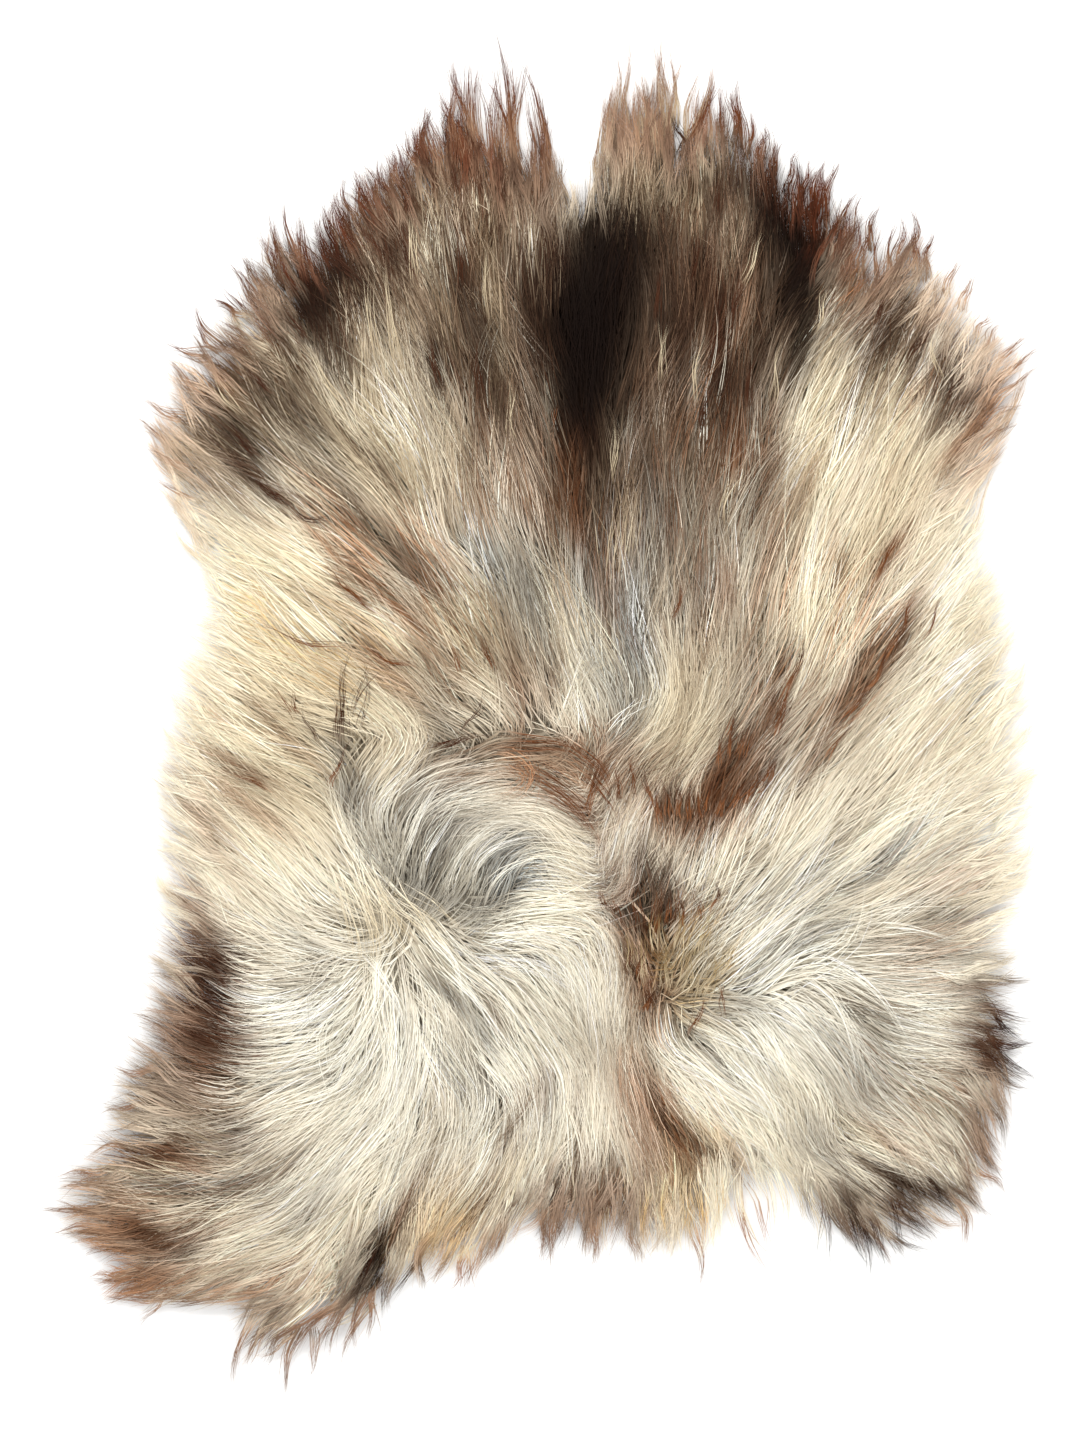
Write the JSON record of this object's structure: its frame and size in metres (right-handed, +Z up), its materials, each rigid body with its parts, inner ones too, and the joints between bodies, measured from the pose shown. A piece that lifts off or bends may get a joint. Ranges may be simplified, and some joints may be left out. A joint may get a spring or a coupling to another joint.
{
  "type": "icelandic sheepskin rug",
  "caption": "Long-haired sheepskin rug lying flat: thin tanned hide under a shaggy fleece with pointed locks all round, a notch at its broad end and one trailing leg.",
  "frame": {"origin": "on the floor, under the middle of the rug's outer box", "axes": "+Y runs along the rug towards its broad notched end, +Z is up through the wool"},
  "size_m": [0.7926, 1.0784, 0.0623],
  "materials": {
    "hide_leather": "tanned flesh side, sueded and matt, warm off-white",
    "wool": "long soft undyed wool, cream and grey with near-black and rust-brown natural markings"
  },
  "bodies": {
    "root": {"hide": "hide_leather", "fleece": "wool"}
  },
  "joints": []
}
